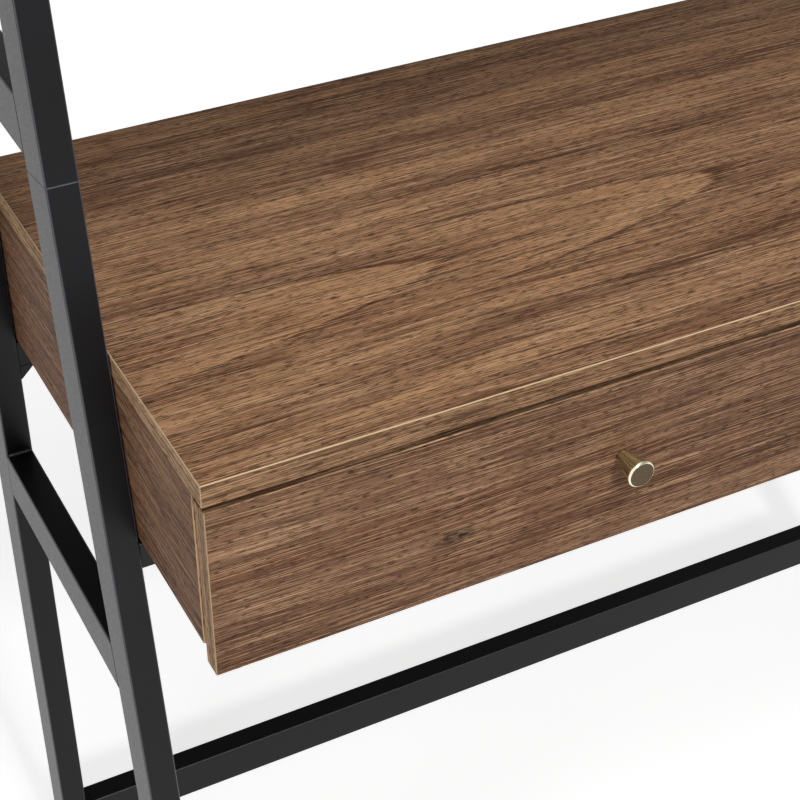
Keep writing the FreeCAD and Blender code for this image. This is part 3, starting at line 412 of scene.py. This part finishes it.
# grain, face, flame, tones, scrape, seed, and a knot where there is one
boards = {
    "desk_top": ("X", "Z", (-40 * MM, 0.05, -1.3, 0.06, 66.5 * MM), LIT_TOP_TONES, TOP_SCRAPE_HIGHLIGHT, 3.1),
    "lower_shelf": ("X", "Z", (0.11, 0.03, -1.6, 0.05, 60 * MM), LIT_TOP_TONES, TOP_SCRAPE_HIGHLIGHT, 11.7),
    "upper_shelf": ("X", "Z", (0.14, -0.02, 1.5, 0.05, 70 * MM), LIT_TOP_TONES, TOP_SCRAPE_HIGHLIGHT, 23.9),
    "drawer_front": ("X", "Y", (0.9, 0.0, -1.0, 0.02, 70 * MM), SHADED_FRONT_TONES, FRONT_SCRAPE_SHADE, 5.3, KNOT_AT),
    "back_panel": ("X", "Y", (0.69, 0.0, -1.2, 0.05, 64 * MM), SHADED_FRONT_TONES, FRONT_SCRAPE_SHADE, 31.3),
    "left_side_panel": ("Y", "X", (0.9, 0.0, -0.5, 0.03, 70 * MM), SHADED_SIDE_TONES, FRONT_SCRAPE_SHADE, 17.2),
    "right_side_panel": ("Y", "X", (0.69, 0.0, -0.9, 0.07, 60 * MM), SHADED_SIDE_TONES, FRONT_SCRAPE_SHADE, 41.8),
}
for node, recipe in boards.items():
    nodes[node].material_slots[0].material = walnut_laminate(f"walnut_laminate_{node}", *recipe)
print("laminate on", ", ".join(boards))

# %% [markdown]
# ## Black powder coat
# The steel is sprayed with dry polyester powder and baked, so the paint flows a little and stops as a fine
# orange peel. The eye gets a black that is grey where it grazes the light. Plain black would lose the
# tubes' corners. A little unevenness in gloss and height keeps them readable, and so does a painted
# highlight: the rounded corners are painted grey.

# %% Powder coat
PEEL = 1.5 * MM
PEEL_DEPTH = 0.05 * MM
PATCH = 70 * MM
COAT_TONES = ((0.3, "#08080b"), (0.7, "#0e0e12"))
CORNER_HIGHLIGHT = "#66666c"


def powder_coat():
    """Near-black paint with a painted highlight: a share of grey on rounded corners that falls to 0 as a
    face gets flat.

    The lumps of the peel are drawn coarser than real ones, so that they show.
    """
    material, tree, shader = new_material("black_powder_coat_semi_matte")
    place = add(tree, "TexCoord").outputs["Object"]
    peel = add(tree, "TexNoise", {"Vector": place, "Scale": 1 / PEEL, "Detail": 2.0})
    patches = add(tree, "TexNoise", {"Vector": place, "Scale": 1 / PATCH, "Detail": 3.0})
    colour = add(tree, "ValToRGB", {0: patches}, COAT_TONES)
    widest = facings(tree)[2]
    # painted highlight: grey on rounded corners, none on flat faces
    fall = {"Value": widest, "From Min": 0.8, "From Max": 0.97, "To Min": 0.75, "To Max": 0.0}
    corner_highlight = add(tree, "MapRange", fall)
    colour = add(tree, "Mix", {0: corner_highlight, 6: colour, 7: paint(CORNER_HIGHLIGHT)}, data_type="RGBA")
    sheen = {"Value": peel, "From Min": 0.3, "From Max": 0.7, "To Min": 0.32, "To Max": 0.42}
    gloss = add(tree, "MapRange", sheen)
    relief = add(tree, "Bump", {"Height": peel, "Strength": 0.12, "Distance": PEEL_DEPTH})
    tree.links.new(colour.outputs[2], shader.inputs["Base Color"])
    tree.links.new(gloss.outputs[0], shader.inputs["Roughness"])
    tree.links.new(relief.outputs[0], shader.inputs["Normal"])
    shader.inputs["Specular IOR Level"].default_value = 0.22
    return material


coat = powder_coat()
slot_of = {row["node"]: row["material_slot"] for row in frame["record"]["subparts"]}
coated = [node for node, slot in slot_of.items() if slot == "black_powder_coat"]
for node in coated:
    nodes[node].material_slots[0].material = coat
print(len(coated), "pieces are powder coated")

# %% [markdown]
# ## Zinc, plastics and the plain boards inside
# Screws, sleeves and slides are bright zinc-plated steel, feet and caps are moulded polypropylene, and the
# spacers are natural nylon. Inside, the drawer is foil-wrapped board with a hardboard bottom on beech
# dowels. Each is a short recipe of one or two noises at the size of its real texture.

# %% Zinc and plastics
ROLLING_LINES = (2500.0, 40.0, 2500.0)
ZINC_CLOUD = 25 * MM
GRIT_DEPTH = 0.06 * MM


def zinc_plate():
    """Bright metal with faint rolling lines 0.4 mm apart along Y and cloudy patches of passivation."""
    material, tree, shader = new_material("zinc_plated_steel_rolled")
    place = add(tree, "TexCoord").outputs["Object"]
    stretched = add(tree, "VectorMath", {0: place, 1: ROLLING_LINES}, operation="MULTIPLY")
    rolling = add(tree, "TexNoise", {"Vector": stretched, "Scale": 1.0, "Detail": 1.0})
    clouds = add(tree, "TexNoise", {"Vector": place, "Scale": 1 / ZINC_CLOUD, "Detail": 3.0})
    colour = add(tree, "ValToRGB", {0: clouds}, [(0.35, "#989ca0"), (0.65, "#a6a9ab")])
    gloss = add(tree, "MapRange", {"Value": rolling, "To Min": 0.26, "To Max": 0.44})
    tree.links.new(colour.outputs[0], shader.inputs["Base Color"])
    tree.links.new(gloss.outputs[0], shader.inputs["Roughness"])
    shader.inputs["Metallic"].default_value = 1.0
    return material


def moulded_plastic(name, dark, light, grit):
    """Matte moulding with a spark-eroded grit of a given size in both colour and height."""
    material, tree, shader = new_material(name)
    place = add(tree, "TexCoord").outputs["Object"]
    grain = add(tree, "TexNoise", {"Vector": place, "Scale": 1 / grit, "Detail": 2.0})
    colour = add(tree, "ValToRGB", {0: grain}, [(0.35, dark), (0.65, light)])
    relief = add(tree, "Bump", {"Height": grain, "Strength": 0.2, "Distance": GRIT_DEPTH})
    tree.links.new(colour.outputs[0], shader.inputs["Base Color"])
    tree.links.new(relief.outputs[0], shader.inputs["Normal"])
    shader.inputs["Roughness"].default_value = 0.55
    return material


finishes = {
    "zinc_plated_steel": zinc_plate(),
    "black_plastic": moulded_plastic("black_polypropylene_moulded", "#121213", "#1e1e20", 0.8 * MM),
    "nylon": moulded_plastic("natural_nylon_moulded", "#cbc6b8", "#ddd9cd", 1.2 * MM),
}
print("made", ", ".join(finishes))

# %% [markdown]
# The foil of the drawer boards is printed with a plain grain that follows each board: along Y on the two
# sides, along X on the back. Hardboard has no direction, and a dowel is cut along its own grain.

# %% Plain boards
SIDE_LINES = (220.0, 9.0, 220.0)
BACK_LINES = (9.0, 220.0, 220.0)
HARDBOARD_LINES = (260.0, 260.0, 260.0)
BEECH_LINES = (420.0, 420.0, 60.0)
DRAWER_TONES = [(0.3, "#5f4632"), (0.5, "#7a5c45"), (0.72, "#957659")]
HARDBOARD_TONES = [(0.3, "#7a5b3f"), (0.5, "#8d6c4d"), (0.7, "#a07e5c")]
BEECH_TONES = [(0.3, "#bb9468"), (0.55, "#cfab80"), (0.75, "#dcbd95")]
FIBRE_DEPTH = 0.1 * MM


def fibre_wood(name, lines, tones, roughness):
    """Plain wood or fibre board: one stretched noise, scaled in lines per metre along X, Y and Z."""
    material, tree, shader = new_material(name)
    place = add(tree, "TexCoord").outputs["Object"]
    stretched = add(tree, "VectorMath", {0: place, 1: lines}, operation="MULTIPLY")
    fibres = add(tree, "TexNoise", {"Vector": stretched, "Scale": 1.0, "Detail": 4.0, "Roughness": 0.6})
    colour = add(tree, "ValToRGB", {0: fibres}, tones)
    relief = add(tree, "Bump", {"Height": fibres, "Strength": 0.1, "Distance": FIBRE_DEPTH})
    tree.links.new(colour.outputs[0], shader.inputs["Base Color"])
    tree.links.new(relief.outputs[0], shader.inputs["Normal"])
    shader.inputs["Roughness"].default_value = roughness
    return material


finishes["drawer_board"] = fibre_wood("foil_wrapped_drawer_board", SIDE_LINES, DRAWER_TONES, 0.5)
finishes["hardboard"] = fibre_wood("smooth_hardboard", HARDBOARD_LINES, HARDBOARD_TONES, 0.6)
finishes["beech_dowel"] = fibre_wood("raw_beech_dowel", BEECH_LINES, BEECH_TONES, 0.65)
for node, slot in slot_of.items():
    if slot in finishes:
        nodes[node].material_slots[0].material = finishes[slot]
back_board = fibre_wood("foil_wrapped_drawer_back", BACK_LINES, DRAWER_TONES, 0.5)
nodes["drawer_back"].material_slots[0].material = back_board
print({slot: sum(1 for used in slot_of.values() if used == slot) for slot in finishes})

# %% [markdown]
# ## Turned brass knobs
# Each knob is a cone turned from brass bar, narrow at the drawer and wide at the hand, with a bevelled rim
# that catches the light. The solid has the right form but only as many facets as a machine part needs. A
# turned piece is its profile carried round its axis, so the smooth knob is a grid: profile points by
# angles. Any such grid becomes a mesh in the same way, so that is a helper of its own.

# %% From grids to pieces
def skin(name, *shells):
    """A mesh through grids of points (rows, points around, xyz): quads between rows, both ends capped."""
    points, faces, first = [], [], 0
    for rows in shells:
        count, around = rows.shape[:2]
        index = first + np.arange(count * around).reshape(count, around)
        ahead = np.roll(index, -1, axis=1)
        quads = np.stack([index[:-1], ahead[:-1], ahead[1:], index[1:]], axis=-1).reshape(-1, 4)
        faces += quads.tolist() + [index[0][::-1].tolist(), index[-1].tolist()]
        points.append(rows.reshape(-1, 3))
        first += count * around
    mesh = bpy.data.meshes.new(name)
    mesh.from_pydata(np.concatenate(points).tolist(), [], faces)
    mesh.polygons.foreach_set("use_smooth", np.ones(len(mesh.polygons), bool))
    mesh.update()
    return mesh


def new_piece(name, mesh, body, material):
    """Put a mesh into the scene as a piece that rides on a body and takes a finish."""
    piece = bpy.data.objects.new(name, mesh)
    bpy.context.scene.collection.objects.link(piece)
    mesh.materials.append(material)
    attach(piece, body)
    return piece


# %% [markdown]
# The profile starts at the drawer and ends at the middle of the face. Every corner is broken by a file, so
# it gets a small rounding: a sharp one would show no line of light.

# %% Knob profile
KNOB_BASE = 4.5 * MM
KNOB_BEVEL = 1.0 * MM
RIM_LENGTH = 1.8 * MM
BROKEN_EDGE = 0.35 * MM
FACE_MARGIN = 0.4 * MM
FACE_MIDDLE = 0.6 * MM
DISH = 0.15 * MM
CONE_SHARE = 0.97


def rounded_corner(before, corner, after, radius, steps=6):
    """A corner of a profile as a quadratic curve that leaves and meets its sides at the given radius."""
    start = corner + (before - corner) / np.linalg.norm(before - corner) * radius
    end = corner + (after - corner) / np.linalg.norm(after - corner) * radius
    t = np.linspace(0, 1, steps)[:, None]
    return (1 - t) ** 2 * start + 2 * t * (1 - t) * corner + t ** 2 * end


def knob_profile(length, rim):
    """Pairs of distance from the drawer and radius: cone, rim, bevel and face.

    The cone stops just short of its corner. The face lies DISH * (1 - (radius / its radius)^2) deeper.
    """
    corners = np.array([
        (0.0, KNOB_BASE),
        (length - RIM_LENGTH, rim),
        (length - KNOB_BEVEL, rim),
        (length, rim - KNOB_BEVEL),
        (length, 0.0),
    ])
    cone = corners[0] + np.linspace(0, 1, 12)[:, None] * CONE_SHARE * (corners[1] - corners[0])
    bends = [rounded_corner(*corners[k:k + 3], BROKEN_EDGE) for k in range(3)]
    radii = np.linspace(rim - KNOB_BEVEL - FACE_MARGIN, FACE_MIDDLE, 8)
    dish = DISH * (1 - (radii / radii[0]) ** 2)
    face = np.stack([length - dish, radii], axis=1)
    return np.concatenate([cone, *bends, face])


def turned_rows(profile, centre, turns=96):
    """Carry a profile round an axis along -Y: x and z follow the angle, y follows the distance."""
    angle = np.linspace(0, 2 * math.pi, turns, endpoint=False)
    reach, radius = profile[:, :1], profile[:, 1:]
    x = centre[0] + radius * np.cos(angle)
    y = centre[1] - reach + 0 * angle
    z = centre[2] + radius * np.sin(angle)
    return np.stack([x, y, z], axis=-1)


print("every knob is", round(2 * KNOB_BASE / MM, 1), "mm wide at the drawer")

# %% [markdown]
# Satin brass with a lacquer that has gone a little brown: warm, not mirror-bright. Part of its light is
# painted: light and dark streaks of painted reflection along the cone, a painted highlight on the rim and
# painted shade on the face. The lathe leaves fine rings round the axis of the face. They are drawn at half
# a millimetre, coarser than real ones, or they would not show at all.

# %% Brass
LATHE_RINGS = 2 / MM
RING_DEPTH = 0.05 * MM
ON_FACE = -0.95
OFF_CONE = 0.12
# painted reflections: light and dark streaks on the cone, painted shade on the face, a painted highlight on
# the rim
CONE_PAINTED_STREAKS = ((0.4, "#7d6c48"), (0.5, "#b9a87c"), (0.6, "#ecdfba"))
FACE_PAINTED_SHADE = ((0.35, "#4b3d29"), (0.65, "#584832"))
RIM_PAINTED_HIGHLIGHT = "#f4e9cc"


def satin_brass(centre):
    """Aged brass round an axis with painted reflections: rings = noise of the distance from it, painted
    streaks = noise of the direction.

    A normal's Y tells the places apart: the face looks along -Y and is painted in shade, the rim is painted
    as a highlight, and only the cone looks back.
    """
    material, tree, shader = new_material(f"satin_brass_turned_{'left' if centre[0] < 0 else 'right'}")
    place = add(tree, "TexCoord").outputs["Object"]
    from_axis = add(tree, "VectorMath", {0: place, 1: tuple(centre)}, operation="SUBTRACT")
    flat = add(tree, "VectorMath", {0: from_axis, 1: (1.0, 0.0, 1.0)}, operation="MULTIPLY")
    radius = add(tree, "VectorMath", {0: flat}, operation="LENGTH").outputs["Value"]
    ring_at = add(tree, "Math", {0: radius, 1: LATHE_RINGS}, operation="MULTIPLY")
    rings = add(tree, "TexNoise", {"W": ring_at, "Scale": 1.0, "Detail": 1.0}, noise_dimensions="1D")
    outward = add(tree, "VectorMath", {0: flat}, operation="NORMALIZE")
    # painted reflection: streaks that follow the direction round the axis
    streaks = add(tree, "TexNoise", {"Vector": outward, "Scale": 5.0, "Detail": 2.0})
    cone = add(tree, "ValToRGB", {0: streaks}, CONE_PAINTED_STREAKS).outputs["Color"]
    face = add(tree, "ValToRGB", {0: rings}, FACE_PAINTED_SHADE).outputs["Color"]
    normal = add(tree, "SeparateXYZ", {0: add(tree, "NewGeometry").outputs["True Normal"]})
    on_face = add(tree, "Math", {0: normal.outputs["Y"], 1: ON_FACE}, operation="LESS_THAN")
    off_cone = add(tree, "Math", {0: normal.outputs["Y"], 1: OFF_CONE}, operation="LESS_THAN")
    # painted highlight on the rim and bevel, then painted shade on the face
    colour = add(tree, "Mix", {0: off_cone, 6: cone, 7: paint(RIM_PAINTED_HIGHLIGHT)}, data_type="RGBA").outputs[2]
    colour = add(tree, "Mix", {0: on_face, 6: colour, 7: face}, data_type="RGBA").outputs[2]
    sheen = {"Value": rings, "From Min": 0.3, "From Max": 0.7, "To Min": 0.16, "To Max": 0.28}
    gloss = add(tree, "MapRange", sheen)
    relief = add(tree, "Bump", {"Height": rings, "Strength": 0.12, "Distance": RING_DEPTH})
    tree.links.new(colour, shader.inputs["Base Color"])
    tree.links.new(gloss.outputs[0], shader.inputs["Roughness"])
    tree.links.new(relief.outputs[0], shader.inputs["Normal"])
    shader.inputs["Metallic"].default_value = 0.72
    return material


print("lathe rings every", round(1 / LATHE_RINGS / MM, 2), "mm")

# %% [markdown]
# Both knobs take their place, length and width from the solids that they stand for.

# %% Knobs
for side in ("left", "right"):
    low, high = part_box(f"{side}_knob")
    centre = ((low.x + high.x) / 2, high.y, (low.z + high.z) / 2)
    length, rim = high.y - low.y, (high.x - low.x) / 2
    mesh = skin(f"{side}_turned_knob", turned_rows(knob_profile(length, rim), centre))
    knob = new_piece(f"{side}_turned_knob", mesh, "drawer", satin_brass(centre))
    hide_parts(f"{side}_knob")
    print(knob.name, len(knob.data.polygons), "faces, length", round(length / MM, 2), "mm")

# %% [markdown]
# ## Weld beads
# The rungs are welded to the legs before painting, with a small fillet over and under each end. Under the
# paint it shows as a thin light line in the corner. It could be painted as a line, but a bead has to catch
# the light from any side, so it is a shape: a hollow curve from leg to rung, carried across the tube, that
# swells with each drop of weld metal. Its line of light is partly a painted highlight too: the coat paints
# its curved faces grey, as on the tubes' corners.

# %% Shape of a bead
BEAD = 2.2 * MM
BEAD_ROOT = 0.1
DROP_PITCH = 1.6 * MM
ROWS_PER_DROP = 5
SWELL = 0.05
TAPER = 0.33


def bead_rows(corner, leg_way, rung_way, run):
    """Points of one bead: corner + size * ((1 - t)^2 leg way + t^2 rung way), carried along X.

    The size swells by a tenth with each drop of weld metal and tapers to two thirds at both ends. A root
    point behind the corner closes the section.
    """
    t = np.linspace(0, 1, 7)[:, None]
    hollow = (1 - t) ** 2 * leg_way + t ** 2 * rung_way
    root = -BEAD_ROOT * (leg_way + rung_way)
    section = np.concatenate([hollow, root[None]])
    x = np.arange(0, run, DROP_PITCH / ROWS_PER_DROP)
    taper = 1 - TAPER * np.abs(2 * x / run - 1) ** 6
    size = BEAD * (1 - SWELL + SWELL * np.cos(2 * math.pi * x / DROP_PITCH)) * taper
    rows = np.array(corner) + size[:, None, None] * section
    rows[..., 0] += x[:, None]
    return rows if np.cross(leg_way, rung_way)[0] > 0 else rows[::-1]


print("a bead is", round(BEAD / MM, 1), "mm high, with a drop every", round(DROP_PITCH / MM, 1), "mm")

# %% [markdown]
# Every rung has four beads: over and under it at the leaning front leg, and over and under it at the
# upright rear leg. They stop short of the tube's rounded corners.

# %% Weld beads
LEAN = math.radians(8.5)
BEAD_INSET = 1.5 * MM
up, back = np.array((0.0, 0.0, 1.0)), np.array((0.0, 1.0, 0.0))
leaning = np.array((0.0, math.sin(LEAN), math.cos(LEAN)))
beads = []
for rung in [node for node in nodes if node.endswith("_rung")]:
    low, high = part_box(rung)
    first, run = low.x + BEAD_INSET, high.x - low.x - 2 * BEAD_INSET
    front_top = low.y + (high.z - low.z) * math.tan(LEAN)
    beads += [
        bead_rows((first, front_top, high.z), leaning, back, run),
        bead_rows((first, low.y, low.z), -leaning, back, run),
        bead_rows((first, high.y, high.z), up, -back, run),
        bead_rows((first, high.y, low.z), -up, -back, run),
    ]
# the coat's painted highlight turns the beads' curved faces grey
weld = new_piece("weld_beads", skin("weld_beads", *beads), "frame", coat)
print(len(beads), "weld beads,", len(weld.data.polygons), "faces")

# %% [markdown]
# ## Studio
# A pale floor with white walls around it, a dark ceiling and three soft lamps. The walls could be lit
# until they look white, but that light would fall on the desk too. So floor and walls only look white to
# rays that see them: from the camera, in reflections and through clear things.
# The floor's own glow is weaker near the desk. There the lamps give the rest, so the desk keeps its
# shadow.

# %% Floor
HALF_FLOOR = 40.0
NEAR, FAR = 0.7, 3.0
GLOW_NEAR, GLOW_FAR = 0.75, 0.92
WHITE = paint("#ffffff")


def seen_rays(tree):
    """1 for rays that show the background itself: camera, glossy and transmission rays."""
    path = add(tree, "LightPath")
    camera_ray, glossy_ray = path.outputs["Is Camera Ray"], path.outputs["Is Glossy Ray"]
    mirrored = add(tree, "Math", {0: camera_ray, 1: glossy_ray}, operation="MAXIMUM")
    return add(tree, "Math", {0: mirrored, 1: path.outputs["Is Transmission Ray"]}, operation="MAXIMUM")


corners = [(x * HALF_FLOOR, y * HALF_FLOOR, 0.0) for x, y in ((-1, -1), (1, -1), (1, 1), (-1, 1))]
floor_mesh = bpy.data.meshes.new("studio_floor")
floor_mesh.from_pydata(corners, [], [(0, 1, 2, 3)])
floor = bpy.data.objects.new("studio_floor", floor_mesh)
bpy.context.scene.collection.objects.link(floor)
floor_material, tree, shader = new_material("pale_studio_floor")
shader.inputs["Base Color"].default_value = paint("#dedede")
shader.inputs["Roughness"].default_value = 0.9
place = add(tree, "TexCoord").outputs["Object"]
away = add(tree, "VectorMath", {0: place}, operation="LENGTH").outputs["Value"]
rise = {"Value": away, "From Min": NEAR, "From Max": FAR, "To Min": GLOW_NEAR, "To Max": GLOW_FAR}
share = add(tree, "MapRange", rise)
share = add(tree, "Math", {0: seen_rays(tree), 1: share}, operation="MULTIPLY")
glow = add(tree, "Emission", {"Color": WHITE, "Strength": share})
blend = add(tree, "AddShader", {0: shader, 1: glow})
tree.links.new(blend.outputs[0], tree.nodes["Material Output"].inputs["Surface"])
floor_mesh.materials.append(floor_material)
print("floor is", 2 * HALF_FLOOR, "m wide")

# %% [markdown]
# The walls end in a soft line under a ceiling that stays dark, which keeps level faces of the black steel
# black. At the left the white wall goes higher, so the outer sides of the posts mirror it and turn grey.
# What lights the desk from all round is only a weak even sky.

# %% Walls and sky
SKY = 0.06
WALL_TOP, CEILING = 0.22, 0.5
WALL_GLOW, CEILING_GLOW = 1.0, 0.08
LEFT_RISE = 0.9

world = bpy.data.worlds.new("studio_sky")
world.use_nodes = True
tree = world.node_tree
sky = tree.nodes["Background"]
sky.inputs["Color"].default_value = WHITE
sky.inputs["Strength"].default_value = SKY
ray = add(tree, "SeparateXYZ", {0: add(tree, "TexCoord").outputs["Generated"]})
leftward = add(tree, "Math", {0: ray.outputs["X"], 1: 0.0}, operation="MINIMUM")
height = add(tree, "Math", {0: leftward, 1: LEFT_RISE, 2: ray.outputs["Z"]}, operation="MULTIPLY_ADD")
fall = {
    "Value": height,
    "From Min": WALL_TOP,
    "From Max": CEILING,
    "To Min": WALL_GLOW,
    "To Max": CEILING_GLOW,
}
wall = add(tree, "MapRange", fall)
backdrop = add(tree, "Background", {"Color": WHITE, "Strength": wall})
blend = add(tree, "MixShader", {0: seen_rays(tree), 1: sky, 2: backdrop})
tree.links.new(blend.outputs[0], tree.nodes["World Output"].inputs["Surface"])
bpy.context.scene.world = world
print("walls are white up to", round(math.degrees(math.asin(WALL_TOP))), "degrees")

# %% [markdown]
# A wide lamp overhead gives the even light on the top. A small key lamp in front draws the knob's shadow
# and lights the drawer, and a tall strip at the left brightens the sides.

# %% Lamps
# place, target, width, height and power
lamps = {
    "overhead_lamp": ((-0.2, -0.9, 3.3), (0.0, -0.1, 0.75), 1.6, 1.2, 36.0),
    "key_lamp": ((-0.43, -2.72, 2.47), (0.0, -0.1, 0.7), 0.3, 0.3, 43.0),
    "left_strip": ((-2.7, -1.5, 1.6), (-0.3, 0.0, 0.7), 0.7, 1.7, 13.0),
}
for name, (place, target, width, height, power) in lamps.items():
    lamp = bpy.data.lights.new(name, "AREA")
    lamp.shape = "RECTANGLE"
    lamp.size = width
    lamp.size_y = height
    lamp.energy = power
    holder = bpy.data.objects.new(name, lamp)
    holder.location = place
    holder.rotation_euler = (Vector(target) - Vector(place)).to_track_quat("-Z", "Y").to_euler()
    bpy.context.scene.collection.objects.link(holder)
bpy.context.scene.view_settings.view_transform = "Standard"
print("lamps:", ", ".join(lamps))

# %% [markdown]
# ## Camera
# The picture was taken from the front left, looking down on the desk top from about eye height. The
# camera's place and turn were found by fitting the straight edges of the desk, so they are plain numbers:
# where it stands, and the directions of the picture's right side, its lower side and the view.

# %% Camera
SENSOR, LENS = 36.0, 81.901
STAND = (-0.697725, -0.957094, 1.399431)
RIGHT = Vector((0.888926, -0.458050, -0.001333))
DOWN = Vector((-0.270627, -0.522847, -0.808327))
FORWARD = Vector((0.369557, 0.718903, -0.588732))

camera_data = bpy.data.cameras.new("camera")
camera_data.sensor_width = SENSOR
camera_data.lens = LENS
camera_data.clip_start = 10 * MM
camera = bpy.data.objects.new("camera", camera_data)
turn = Matrix((RIGHT, -DOWN, -FORWARD)).transposed().to_4x4()
camera.matrix_world = Matrix.Translation(STAND) @ turn
bpy.context.scene.collection.objects.link(camera)
bpy.context.scene.camera = camera
print("camera stands at", [round(value, 3) for value in camera.location])
